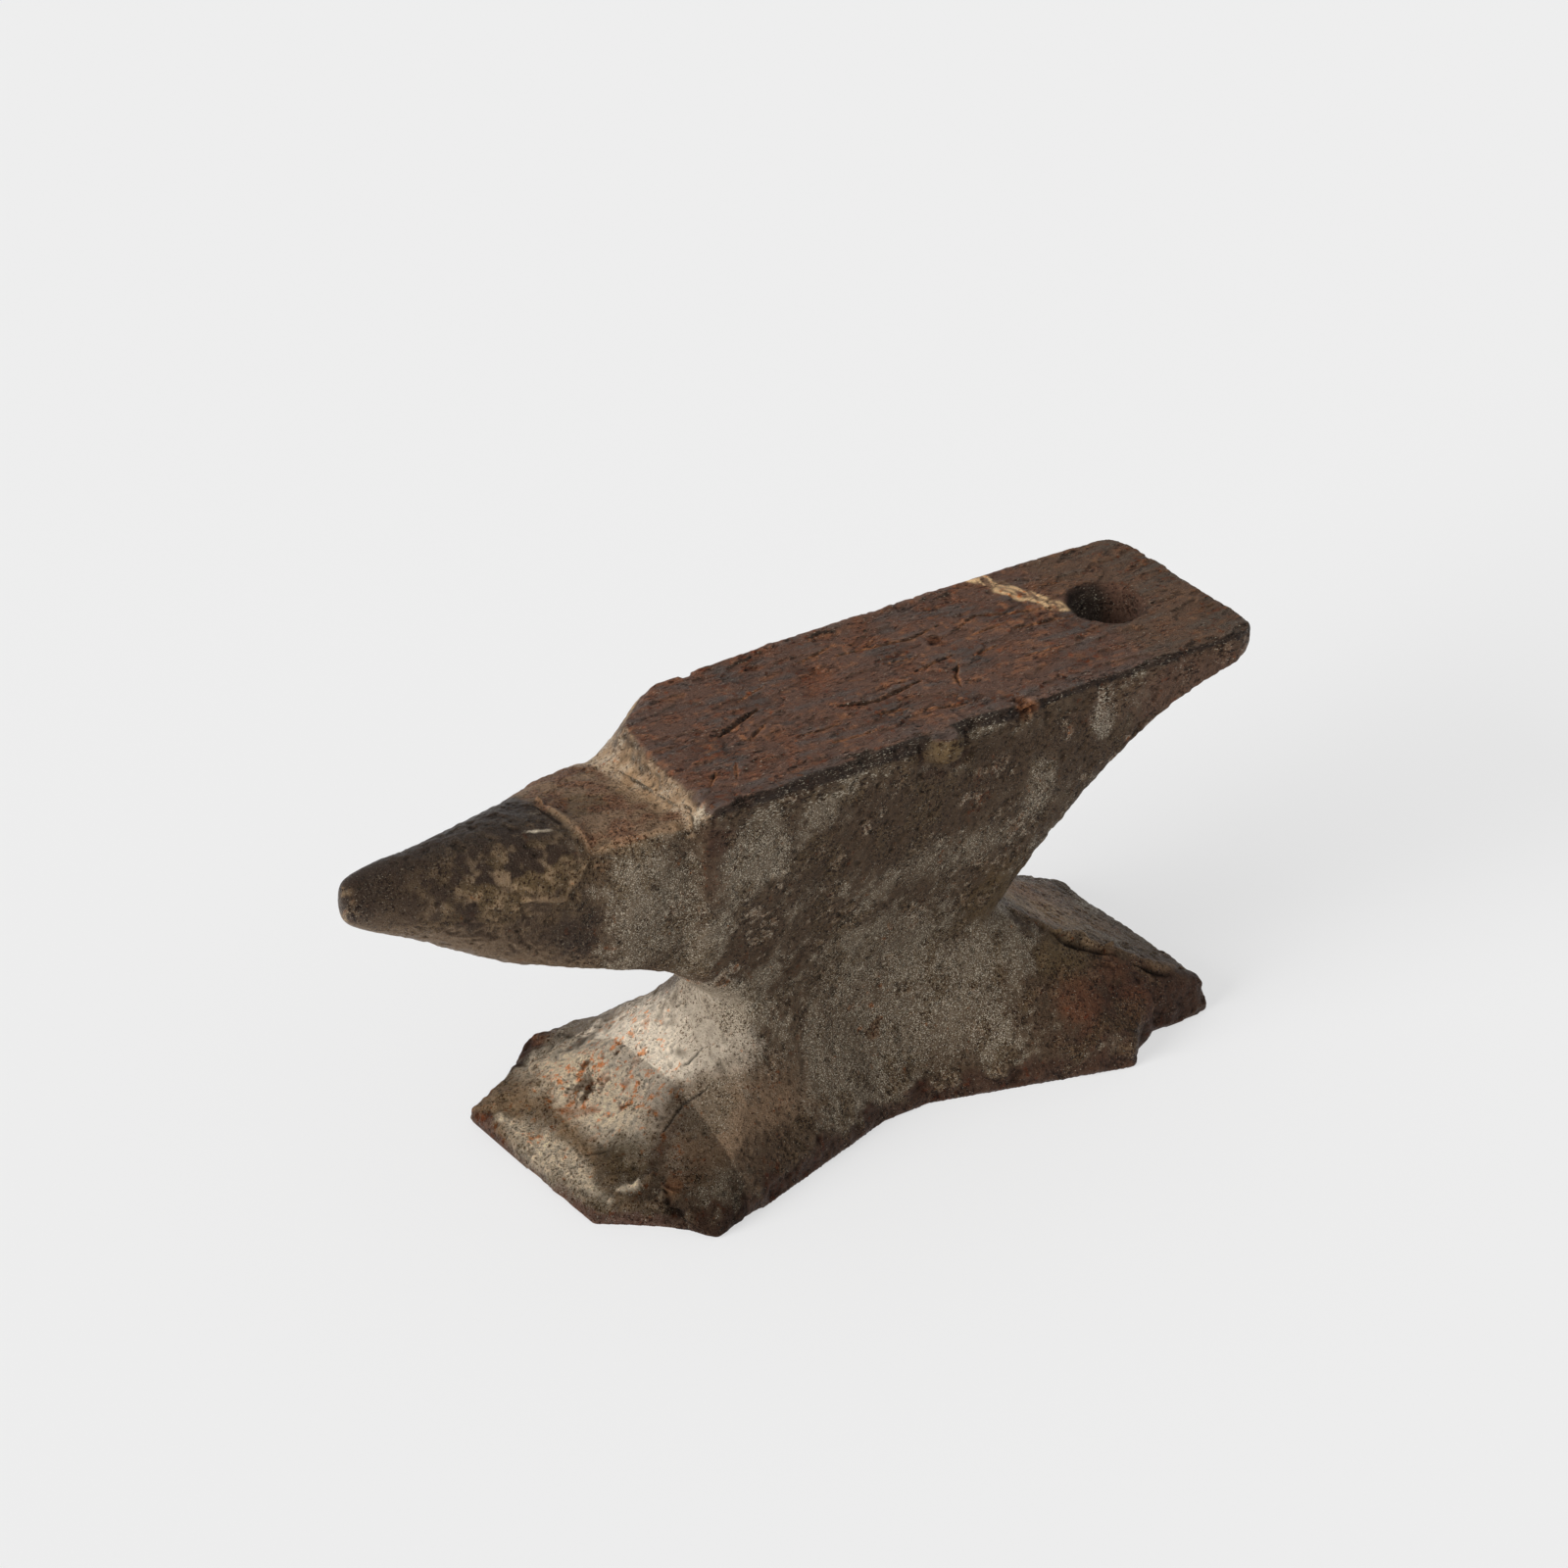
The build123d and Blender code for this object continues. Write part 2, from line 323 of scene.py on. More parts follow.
# Places worn rounder than the rest: strength, centre, radius.
WORN = [
    (0.35, (-62, 34, 130), (16, 12, 14)),  # far front corner of the face
    (0.7, (HEEL_END, -HALF_FACE, 128), (8, 8, 10)),  # near end corner of the heel
    (0.9, (-90, -62, 4), (8, 8, 10)),  # broken front corner of the base
    (0.8, (-180, -1, 121), (6, 8, 9)),  # tip of the beak
]


def along(points, line):
    """Distance of each point from a line through several points, and 0 to 1 along it."""
    line = np.array(line, float)
    lengths = np.linalg.norm(np.diff(line, axis=0), axis=1)
    starts = np.concatenate([[0], np.cumsum(lengths)])
    best = np.full(len(points), np.inf)
    place = np.zeros(len(points))
    for a, b, length, start in zip(line, line[1:], lengths, starts):
        t = np.clip((points - a) @ (b - a) / length**2, 0, 1)
        away = np.linalg.norm(points - a - t[:, None] * (b - a), axis=1)
        closer = away < best
        best[closer] = away[closer]
        place[closer] = (start + t[closer] * length) / starts[-1]
    return best, place


def mark_strength(points, width, line):
    """0 to 1: how much of a mark each point carries.  It wavers, and tapers at its ends."""
    line = np.array(line, float)
    reach = 4 * width
    near = ((points > line.min(0) - reach) & (points < line.max(0) + reach)).all(axis=1)
    strength = np.zeros(len(points))
    if near.any():
        away, place = along(points[near], line)
        away = away + 0.4 * width * noise(points[near], 2.5 * width, shift=width)
        taper = np.clip(4 * np.minimum(place, 1 - place), 0.35, 1)
        strength[near] = np.exp(-((np.clip(away, 0, None) / (width * taper)) ** 2))
    return strength


def marked(points):
    """For each kind of mark, the strongest mark at each point and the depth it is cut to."""
    strengths, depth = {}, np.zeros(len(points))
    for kind, marks in MARKS.items():
        strengths[kind] = np.zeros(len(points))
        for width, mark_depth, line in marks:
            strength = mark_strength(points, width, line)
            strengths[kind] = np.maximum(strengths[kind], strength)
            depth += mark_depth * strength
    return strengths, depth


# ---------------------------------------------------------------- the whole skin
def grown_skin():
    """The CAD nodes, the bead added and the chips broken off, as one fine even mesh."""
    bead = ellipsoid("bead", BEAD, BEAD_SIZE)
    skin = joined("skin", [*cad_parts.values(), bead])
    remeshed(skin, FIRST_VOXEL)
    chips = [prism("chip", outline, UNDERGROUND, CHIP_TOP) for outline in CHIPS]
    combined(skin, chips, "DIFFERENCE")
    for helper in [bead, *chips]:
        remove(helper)
    return remeshed(skin, VOXEL)


def relax(points, edges, weight, reach):
    """Smooths points over about reach millimetres, more where weight is high."""
    counts = np.bincount(edges.ravel())
    rounds = round((2 * reach / VOXEL) ** 2)
    for _ in range(rounds):
        mean = np.empty_like(points)
        for axis in range(3):
            low = np.bincount(edges[:, 0], points[edges[:, 1], axis], len(points))
            high = np.bincount(edges[:, 1], points[edges[:, 0], axis], len(points))
            mean[:, axis] = (low + high) / counts
        points = points + (0.5 * weight)[:, None] * (mean - points)
    return points


def softness(points):
    """Where the forging is rounded: feet, waist, block, the beak's weld and the worn places."""
    x, _, z = points.T
    waist = ramp(z, 6, 18) * (1 - ramp(z, 60, 75))
    block = ramp(z, 50, 60) * (1 - ramp(z, 100, 118)) * ramp(x, -80, -70) * (1 - ramp(x, 30, 50))
    weld = ramp(x, -86, -80) * (1 - ramp(x, -72, -67)) * (1 - ramp(z, 122, 128))
    near_edge = blob(points, NEAR_EDGE, NEAR_EDGE_REACH) * (0.6 + 0.5 * noise(points, 18, shift=45))
    worn = sum(strength * blob(points, centre, radius) for strength, centre, radius in WORN)
    return np.clip(waist + block + weld + (worn + 0.5 * near_edge), 0.01, 1)


def step_softness(points):
    """Where the step down to the table runs out in a hollow curve."""
    x, y, z = points.T
    step = ramp(z, 112, 122) + (1 - ramp(z, 112, 122)) * ramp(-y, 28, 32)
    return 0.04 + 0.96 * ramp(x, -90, -82) * (1 - ramp(x, -74, -69)) * step


def mouth_ratio(points):
    """Distance from the hole's middle, as a share of its worn mouth's."""
    x, y, _ = points.T
    return np.hypot((x - HOLE[0]) / MOUTH_RADII[0], (y - HOLE[1]) / MOUTH_RADII[1])


def worn_down(points):
    """The step from the face to the table, and the mouth of the hole, as lowered surfaces."""
    x, y, z = points.T
    edge = np.interp(y, *zip(*FACE_EDGE)) + 0.8 * noise(points, 9, shift=47)
    table = np.interp(y, *zip(*TABLE_TOP))
    beyond = np.clip((edge - x) / (edge - BEAK_WELD), 0, 1)
    step = FACE_Z - (FACE_Z - table) * (1 - (1 - beyond) ** STEP_CURVE)
    mouth = FACE_Z - MOUTH_SLOPE * np.clip(1 - mouth_ratio(points), 0, MOUTH_WIDTH)
    lowered = points.copy()
    on_block = x > BEAK_WELD - 1
    lowered[:, 2] = np.where(on_block, np.minimum(z, np.minimum(step, mouth)), z)
    return lowered


def dressing(points, normals):
    """How far out the hammer marks, pitting and ragged edges lift or sink each point."""
    x, _, z = points.T
    on_face = ramp(z, 131, 134) * ramp(normals[:, 2], 0.6, 0.9) * ramp(x, -74, -70)
    polished = 1 - ramp(x, -174, -155)
    waves = 0.35 * fractal(points, 24, 2) + 0.25 * fractal(points, 8, 2, shift=3)
    grain = 0.22 * noise(points, 2.4, shift=5) + 0.18 * noise(points, 1.3, shift=9)
    pits = -0.4 * ramp(fractal(points, 3.0, 3, shift=21), 0.3, 0.9)
    scale = -0.4 * ramp(fractal(points * (0.45, 1, 1), 5, 3, shift=25), 0.05, 0.2)
    ragged = (1 - ramp(z, 9, 16)) * ramp(z, 0.2, 2) * 0.9 * fractal(points, 6, 3, shift=31)
    near_edge = blob(points, NEAR_EDGE, NEAR_EDGE_REACH) * (1.3 * fractal(points, 16, 3, shift=41) - 0.4)
    far_edge = 1.1 * blob(points, FAR_EDGE, FAR_EDGE_REACH)
    body = waves + grain + pits
    top = 0.25 * waves + 0.5 * grain + scale
    return (body + on_face * (top - body)) * (1 - 0.8 * polished) + ragged + near_edge + far_edge


def shaped(skin):
    """Wears the skin down, and returns the marks' strengths at its vertices."""
    mesh = skin.data
    edges = read_edges(mesh)
    points = read_points(mesh)
    points = relax(points, edges, softness(points), EDGE_REACH)
    points = worn_down(points)
    points = relax(points, edges, step_softness(points), STEP_REACH)
    write_points(mesh, points)
    normals = read_normals(mesh)
    strengths, depth = marked(points)
    above_floor = ramp(points[:, 2], 0.1, 1.5)
    rise = (GROWTH + dressing(points, normals) - depth) * above_floor
    points = points + normals * rise[:, None]
    points[:, 2] = np.where(points[:, 2] < 0.3, 0, points[:, 2])
    write_points(mesh, points)
    return strengths


# ---------------------------------------------------------------- colours
# Base colours, as linear red, green and blue.
GREY = (0.150, 0.110, 0.072)
SILVER = (0.76, 0.655, 0.520)
UMBER = (0.078, 0.047, 0.026)
OLIVE = (0.125, 0.080, 0.036)
CHOCOLATE = (0.155, 0.080, 0.052)
TAN = (0.40, 0.270, 0.155)
RUST = (0.240, 0.088, 0.038)
ORANGE = (0.480, 0.200, 0.080)
OXBLOOD = (0.058, 0.027, 0.015)
MAUVE = (0.190, 0.105, 0.075)
OCHRE = (0.88, 0.60, 0.32)
BLACK = (0.026, 0.015, 0.010)
BUFF = (0.270, 0.170, 0.100)
CREAM = (0.92, 0.78, 0.58)
SLATE = (0.115, 0.105, 0.095)
SHADE = (0.20, 0.135, 0.085)  # what the fine pits multiply the colour by
GLINT = (0.52, 0.455, 0.350)  # the bright specks of bare metal, painted lighter as glints
CLAY = (1.05, 0.55, 0.30)  # what the rust spots multiply it by

# Broad ragged patches of colour: colour, strength, centre, radius.
PATCHES = [
    (UMBER, 1.0, (0, -38, 108), (58, 14, 20)),
    (UMBER, 1.0, (58, -38, 116), (40, 12, 20)),
    (UMBER, 0.9, (112, -38, 126), (26, 12, 12)),
    (UMBER, 0.7, (-38, -28, 78), (20, 14, 12)),
    (GREY, 0.9, (-58, -38, 112), (14, 8, 13)),
    (GREY, 0.5, (20, -34, 88), (26, 15, 8)),
    (GREY, 0.8, (50, -34, 104), (7, 12, 12)),
    (GREY, 0.6, (0, -30, 52), (28, 14, 18)),
    (OLIVE, 0.7, (40, -28, 62), (12, 14, 14)),
    (SILVER, 0.5, (-64, -14, 44), (14, 24, 20)),
    (SILVER, 1.0, (-76, 8, 31), (20, 44, 16)),
    (SILVER, 1.0, (-92, 12, 19), (16, 44, 13)),
    (CREAM, 1.0, (-94, 14, 17), (15, 42, 11)),
    (BUFF, 0.7, (-66, -38, 20), (32, 22, 17)),
    (GREY, 0.7, (0, -36, 28), (44, 16, 16)),
    (TAN, 1.0, (-108, 4, 8), (12, 44, 8)),
    (CREAM, 0.8, (-112, -8, 9), (5, 24, 4)),
    (OLIVE, 0.7, (-99, -26, 12), (11, 11, 8)),
    (SLATE, 0.25, (-107, 10, 9), (5, 8, 5)),
    (TAN, 0.8, (-106, 30, 8), (12, 12, 8)),
    (GREY, 0.8, (-74, -32, 26), (12, 14, 12)),
    (UMBER, 0.8, (-60, -47, 12), (30, 14, 9)),
    (RUST, 0.8, (-84, 56, 7), (7, 8, 8)),
    (UMBER, 1.0, (80, -38, 26), (34, 16, 18)),
    (OLIVE, 0.8, (66, -32, 34), (12, 10, 9)),
    (OXBLOOD, 1.0, (92, -46, 12), (38, 20, 19)),
    (RUST, 0.35, (64, -42, 22), (9, 10, 8)),
    (RUST, 0.3, (84, -44, 14), (8, 8, 6)),
    (RUST, 0.25, (82, -36, 24), (7, 8, 5)),
    (TAN, 0.9, (80, 6, 34), (28, 30, 16)),
    (OLIVE, 0.5, (104, -10, 18), (16, 24, 9)),
    (BUFF, 0.8, (98, 10, 22), (16, 24, 8)),
    (RUST, 0.4, (80, 14, 32), (10, 12, 7)),
    (SILVER, 0.15, (74, -38, 121), (5, 6, 9)),
    (GREY, 0.7, (-90, -33, 104), (16, 12, 20)),
    (UMBER, 1.0, (18, -41, 126), (20, 9, 8)),
    (OLIVE, 1.0, BEAD, (8, 9, 8)),
    (CHOCOLATE, 0.5, (104, -38, 124), (34, 12, 10)),
    (OXBLOOD, 0.7, (-71, -38, 124), (5, 6, 7)),
]
# What each kind of mark is tinted with, and how strongly.
MARK_TINTS = [
    ("stain", OXBLOOD, 0.7),
    ("rust", ORANGE, 0.8),
    ("pit", RUST, 0.8),
    ("lip", TAN, 0.25),
    ("cream", CREAM, 0.9),
    ("crack", BLACK, 0.85),
]
FLOW_LEAN, FLOW_STRETCH = 0.5, 0.5  # the clouds are drawn out up the sides, leaning to the heel
HOLLOW_REACH, HOLLOW_DEPTH = 0.7, 0.22  # how wide and how deep a hollow is
HOLLOW_SHADE, RIDGE_SHINE = 0.55, 0.4  # how much darker hollows are painted, as painted shade, and how much lighter ridges, as wear and a painted highlight

# Places on the surface, as centre and radius or as points along a line.
SLOPE, SLOPE_REACH = (-82, 8, 26), (26, 44, 22)  # the pale front slope of the base
BEAK_PATCH, BEAK_PATCH_REACH = (-130, -17, 119), (28, 13, 12)  # the crackled patch
BEAD_GAP = (7.5, 9, 6.5)  # where the dark band breaks off round the bead
RIM_REACH = (112, 6, 6)  # the greyer rim of the face, along its near edge
STREAK = [(77, 40, 135), (82, 30, 135), (85, 22, 135), (90, 8, 135)]

# The dark band that rolls over the face's near edge.
BAND_INNER = 37.2  # its edge on the face, as a distance from the middle line
BAND_LOWER = 131.3  # its edge on the side, as a height


def tint(colours, colour, strength):
    return colours + np.clip(strength, 0, 1)[:, None] * (np.array(colour) - colours)


def cavity(points, normals, edges):
    """Positive in hollows and negative on ridges, about 1 at most."""
    even = relax(points, edges, np.ones(len(points)), HOLLOW_REACH)
    return np.clip(((even - points) * normals).sum(axis=1) / HOLLOW_DEPTH, -1, 1)


def near_band(at):
    """1 on the dark band along the face's near edge."""
    wave = fractal(at.points * (1, 0, 0), 15, 3, shift=75)
    middle = ramp(at.x, -60, -30) * (1 - ramp(at.x, 25, 50))
    inner = BAND_INNER - 2.2 * middle - 0.5 * wave
    over = np.maximum(ramp(at.side, 0.25, 0.5), ramp(-at.y, inner - 0.5, inner + 0.5))
    lower = BAND_LOWER + 1.6 * ramp(at.x, 35, 60) + 1.2 * (1 - ramp(at.x, -60, -30)) + wave
    bead = ramp(blob(at.points, BEAD, BEAD_GAP), 0.35, 0.6)
    return ramp(at.edge, 0, 2) * over * ramp(at.z, lower - 0.6, lower + 0.6) * (1 - bead)


def surveyed(skin):
    """Where each vertex of the skin lies, the noises its colours follow, and its zones."""
    points, normals = read_points(skin.data), read_normals(skin.data)
    x, y, z = points.T
    at = SimpleNamespace(points=points, x=x, y=y, z=z, up=normals[:, 2], side=-normals[:, 1])
    at.hollow = cavity(points, normals, read_edges(skin.data))
    leaning = np.column_stack([x - FLOW_LEAN * z, y, FLOW_STRETCH * z])
    at.cloud = fractal(leaning, 13, 4, shift=51)
    at.mottle = fractal(points, 6, 3, shift=61)
    at.speck = fractal(points, 2.2, 2, shift=71)
    at.edge = x - np.interp(y, *zip(*FACE_EDGE))
    at.rolled = near_band(at)
    at.face = ramp(z, 131.5, 133.5) * ramp(at.up, 0.45, 0.8) * ramp(at.edge + at.speck, -1, 1)
    at.face = at.face * (1 - at.rolled)
    at.beak = (1 - ramp(x, -114 + 6 * at.mottle, -107 + 6 * at.mottle)) * ramp(z, 60, 70)
    at.table = ramp(z, 118, 122) * ramp(at.up, 0.4, 0.8) * ramp(x, -110, -107)
    at.table = at.table * (1 - ramp(at.edge + at.speck, -2, 0))
    at.bottom = 1 - ramp(z + 4 * at.mottle, 5, 9)
    at.front = ramp(-x, 92, 104) * (1 - ramp(z, 40, 60))
    at.slope = np.clip(1.5 * blob(points, SLOPE, SLOPE_REACH), 0, 1)
    return at


def body_tone(at):
    """Grey metal under clouds of umber, with the patches over them and a darker lower edge."""
    tone = np.tile(GREY, (len(at.points), 1))
    dull = ramp(at.cloud + 0.3 * at.mottle + 0.5 * at.speck, -0.7, 0.4) * (1 - at.slope)
    tone = tint(tone, UMBER, 0.9 * dull)
    ragged = 0.2 * at.mottle + 0.15 * at.speck + 0.1 * at.cloud
    for colour, strength, centre, radius in PATCHES:
        share = ramp(blob(at.points, centre, radius) + ragged, 0.15, 0.75)
        tone = tint(tone, colour, strength * share)
    tone = tint(tone, OLIVE, 0.35 * ramp(at.mottle - 0.5 * at.cloud, 0.2, 0.8) * (1 - at.slope))
    tone = tint(tone, OXBLOOD, 0.9 * at.bottom * (1 - at.front))
    return tint(tone, MAUVE, 0.85 * (1 - ramp(at.z + 2 * at.mottle, 4, 6)) * at.front)


def beak_tone(at, tone):
    """Black above and paler below, with a crackled patch and a bright tip: a polished tip with a painted
    glint.
    """
    mottled = blob(at.points, BEAK_PATCH, BEAK_PATCH_REACH)
    tone = tint(tone, UMBER, 0.95 * at.beak)
    tone = tint(tone, BLACK, 0.75 * at.beak * ramp(at.up + 0.5 * at.cloud, -0.7, 0.1))
    tone = tint(tone, OLIVE, 0.9 * mottled * ramp(at.mottle, -0.3, 0.2))
    tone = tint(tone, TAN, 0.55 * mottled * ramp(at.speck + 0.2 * at.mottle, -0.1, 0.7))
    tone = tint(tone, TAN, 0.25 * at.beak * ramp(-at.up, 0.2, 0.6))
    # The tip is painted paler: polished wear, and a painted glint.
    return tint(tone, TAN, 0.5 * ramp(-at.x, 177, 181) * ramp(at.speck, -0.1, 0.8))


def table_tone(at, tone):
    """Buff and rusty, and pale where it steps up to the face: painted light on the step, which faces the
    lamp.
    """
    step = at.table * ramp(at.x, -83 + 4 * at.mottle, -77 + 4 * at.mottle)
    tone = tint(tone, BUFF, 0.95 * at.table)
    tone = tint(tone, OLIVE, 0.6 * at.table * ramp(at.cloud, 0, 0.4) * (1 - step))
    tone = tint(tone, RUST, 0.5 * at.table * ramp(at.mottle, 0.0, 0.6))
    # The step is painted paler: painted light where the lamp falls on it.
    tone = tint(tone, TAN, 0.8 * step)
    tone = tint(tone, OCHRE, 0.15 * step)
    tone = tint(tone, RUST, 0.15 * step)
    return tint(tone, CREAM, 0.15 * step * (1 + 2 * at.mottle))


def streak(at):
    """Flaking double streak of ochre across the face, between the cuts and the hole."""
    away, _ = along(at.points, STREAK)
    away = away + 1.4 * at.mottle
    double = 1 - 0.7 * np.exp(-((away / 0.8) ** 2))
    flakes = ramp(fractal(at.points * (1, 0.35, 1), 1.8, 2, shift=71), -0.35, 0.0)
    return (1 - ramp(away, 2.2, 4.0)) * double * (0.15 + 0.85 * flakes)


def face_tone(at, tone, cuts):
    """Chocolate brown with lengthwise streaks, the ochre streak, rusty cuts and the dark band."""
    rim = at.face * blob(at.points, NEAR_EDGE, RIM_REACH)
    tone = tint(tone, CHOCOLATE, at.face)
    tone = tint(tone, OXBLOOD, 0.5 * at.face * ramp(at.cloud, 0, 0.7))
    tone = tint(tone, RUST, 0.6 * at.face * ramp(at.mottle - 0.3 * at.cloud, 0.2, 0.8))
    drawn = fractal(at.points * (0.22, 1, 1), 2.4, 2, shift=81)
    tone = tint(tone, SLATE, 0.55 * at.face * ramp(drawn + 0.4 * at.cloud, 0, 0.8))
    tone = tint(tone, ORANGE, 0.28 * at.face * ramp(at.speck - drawn, 0.4, 1.2))
    tone = tint(tone, SLATE, 0.5 * rim)
    tone = tint(tone, OLIVE, 0.35 * at.face * ramp(at.x + 5 * at.mottle, 88, 100))
    tone = tint(tone, OCHRE, at.face * streak(at))
    tone = tint(tone, ORANGE, 0.75 * ramp(cuts + 0.15 * at.speck, 0.02, 0.3) * (cuts > 0))
    tone = tint(tone, OXBLOOD, 0.6 * ramp(cuts, 0.8, 0.98))
    return tint(tone, BLACK, 0.9 * at.rolled)


def hole_tone(at, tone):
    """Dark inside, as painted shade, and browner on its wall towards the heel, as painted light where
    the lamp reaches in, with a dark red rim.
    """
    ratio = mouth_ratio(at.points)
    inside = (1 - ramp(ratio, 0.96, 1.02)) * ramp(at.z, 100, 104)
    rim = np.exp(-(((ratio - 1.0) / 0.06) ** 2)) * ramp(at.z, 130, 133)
    # The inside of the hole is painted dark: painted shade.
    tone = tint(tone, BLACK, 0.85 * inside)
    # Its wall towards the heel is painted browner: painted light from the lamp.
    tone = tint(tone, CHOCOLATE, 0.7 * inside * ramp(at.x, 108, 114))
    return tint(tone, OXBLOOD, 0.7 * rim)


def fine_patterns(at, tone):
    """How much of each fine pattern each vertex carries, and its gloss."""
    body = (1 - at.face) * (1 - at.beak)
    greyness = tone[:, 2] / tone[:, 0]
    bare = ramp(greyness, 0.34, 0.50) * (1 - at.face) * (1 - at.slope)
    tip = 1 - ramp(at.x, -178, -168)
    return {
        "pits": 0.44 * body - 0.04 * at.slope + 0.42 * at.face + 0.42 * at.beak + 0.06 * at.mottle,
        "flecks": 0.31 + 0.13 * bare + 0.03 * at.mottle,
        "rust": 0.34 + 0.06 * at.cloud + 0.05 * (at.face + at.bottom + at.slope),
        "gloss": 0.5 + 0.35 * tip + 0.2 * at.beak + 0.05 * at.face + 0.15 * at.rolled,
    }


def painted(skin, strengths):
    """Colour of each vertex, and its fine patterns."""
    at = surveyed(skin)
    tone = table_tone(at, beak_tone(at, body_tone(at)))
    tone = hole_tone(at, face_tone(at, tone, strengths["cut"]))
    flaky = 0.55 + 0.45 * ramp(at.speck, -0.3, 0.3)
    for kind, colour, strength in MARK_TINTS:
        tone = tint(tone, colour, strength * strengths[kind] * flaky)
    # Hollows are painted darker as painted shade, and ridges lighter as wear and a painted highlight.
    tone = tone * (1 - HOLLOW_SHADE * np.clip(at.hollow, 0, 1))[:, None]
    tone = tone * (1 + RIDGE_SHINE * np.clip(-at.hollow, 0, 1))[:, None]
    return tone, fine_patterns(at, tone)


# ---------------------------------------------------------------- pieces along the welds
def rectangle(x0, x1, y0=-FAR, y1=FAR):
    return [(x0, y0), (x1, y0), (x1, y1), (x0, y1)]


def heel_seam(y):
    """Where the seam between the middle and heel plates lies at each y."""
    return HEEL_SEAM_X + HEEL_SEAM_SLANT * (y - HOLE[1])


def heel_prism():
    """Everything beyond the slanting weld between core and heel, under the face plates."""
    (x0, z0), (x1, z1) = HEEL_WELD
    foot = x0 + (x1 - x0) / (z1 - z0) * (WAIST_Z - z0)
    bottom = [(x, y, WAIST_Z) for x, y in rectangle(foot, FAR)]
    top = [(x, y, PLATE_Z) for x, y in rectangle(x1, FAR)]
    return frustum("heel_region", bottom, top)


def core_wedge():
    """The core between the feet."""
    bottom = [(x, y, CORE_BOTTOM_Z) for x, y in CORE_BOTTOM]
    top = [(x, y, FOOT_WELD_Z) for x, y in CORE_TOP]
    return frustum("wedge", bottom, top)


def regions():
    """A closed solid per node, except the core, which is what the others leave."""
    near, far = (heel_seam(-FAR), -FAR), (heel_seam(FAR), FAR)
    plates = {
        "face_plate_front": rectangle(BEAK_WELD, FRONT_SEAM_X),
        "face_plate_middle": [(FRONT_SEAM_X, -FAR), near, far, (FRONT_SEAM_X, FAR)],
        "face_plate_heel": [near, (FAR, -FAR), (FAR, FAR), far],
    }
    made = {"beak": prism("region", rectangle(-FAR, BEAK_WELD), -FAR, FAR), "heel": heel_prism()}
    for name, outline in plates.items():
        made[name] = prism("region", outline, PLATE_Z, FAR)
    for name, (side_x, side_y) in FEET.items():
        xs = sorted((FOOT_SPLIT[0], side_x * FAR))
        ys = sorted((FOOT_SPLIT[1], side_y * FAR))
        wedge = core_wedge()
        quarter = prism("region", rectangle(*xs, *ys), UNDERGROUND, FOOT_WELD_Z)
        made[name] = combined(quarter, [wedge], "DIFFERENCE")
        remove(wedge)
    return made


def divided(skin):
    """One closed piece per CAD node."""
    cutters = regions()
    pieces = {}
    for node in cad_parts:
        piece = bpy.data.objects.new(f"iron_{node}", skin.data)
        bpy.context.scene.collection.objects.link(piece)
        if node == "core":
            combined(piece, cutters.values(), "DIFFERENCE")
        else:
            combined(piece, [cutters[node]], "INTERSECT")
        pieces[node] = piece
    for cutter in cutters.values():
        remove(cutter)
    return pieces


SHARP_ANGLE = 60.0  # degrees


def vertex_lookup(skin):
    made = KDTree(len(skin.data.vertices))
    for index, vertex in enumerate(skin.data.vertices):
        made.insert(vertex.co, index)
    made.balance()
    return made


def finish_piece(piece, node, lookup, tone, patterns):
    """Carries the skin's colours over, gives the piece its material, puts it under the root body and
    hides its CAD node.
    """
    mesh = piece.data
    nearest = np.array([lookup.find(vertex.co)[1] for vertex in mesh.vertices])
    colours = np.hstack([tone[nearest], np.ones((len(nearest), 1))])
    layer = mesh.attributes.new("tone", "FLOAT_COLOR", "POINT")
    layer.data.foreach_set("color", colours.astype(np.float32).ravel())
    for name, pattern in patterns.items():
        layer = mesh.attributes.new(name, "FLOAT", "POINT")
        layer.data.foreach_set("value", pattern[nearest].astype(np.float32))
    mesh.shade_smooth()
    mesh.set_sharp_from_angle(angle=radians(SHARP_ANGLE))
    slot = "face_steel" if node in PLATES else "wrought_iron"
    mesh.materials.clear()
    mesh.materials.append(materials[slot])
    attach(piece, "root")
    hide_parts(node)


# ---------------------------------------------------------------- materials
def shader(tree, kind, settings=None, **inputs):
    """A shader node.  Each input is a number, a colour or another node's output.

    i0, i1 and so on are inputs by number, where a node's inputs share their names.
    """
    made = tree.nodes.new(kind)
    for name, value in (settings or {}).items():
        setattr(made, name, value)
    for name, value in inputs.items():
        numbered = name[0] == "i" and name[1:].isdigit()
        socket = made.inputs[int(name[1:]) if numbered else name.replace("_", " ")]
        if isinstance(value, bpy.types.NodeSocket):
            tree.links.new(value, socket)
        else:
            socket.default_value = value
    return made


def attribute(tree, name):
    made = shader(tree, "ShaderNodeAttribute", {"attribute_name": name})
    return made.outputs["Color" if name == "tone" else "Fac"]


def texture(tree, place, per_mm, detail):
    """Noise with per_mm cycles in a millimetre."""
    made = shader(
        tree, "ShaderNodeTexNoise", Vector=place, Scale=per_mm / MM, Detail=detail, Roughness=0.7
    )
    return made.outputs["Fac"]


def blended(tree, kind, factor, first, second):
    """Two colours mixed in Blender's way called kind."""
    settings = {"data_type": "RGBA", "blend_type": kind}
    return shader(tree, "ShaderNodeMix", settings, i0=factor, i6=first, i7=second).outputs[2]


def spots(tree, pattern, amount, softness):
    """1 where the pattern stands above a level that falls as the amount rises."""
    level = shader(tree, "ShaderNodeMath", {"operation": "ADD"}, i0=pattern, i1=amount)
    made = shader(
        tree,
        "ShaderNodeMapRange",
        {"interpolation_type": "SMOOTHSTEP"},
        Value=level.outputs[0],
        From_Min=1.0 - softness,
        From_Max=1.0 + softness,
    )
    return made.outputs["Result"]


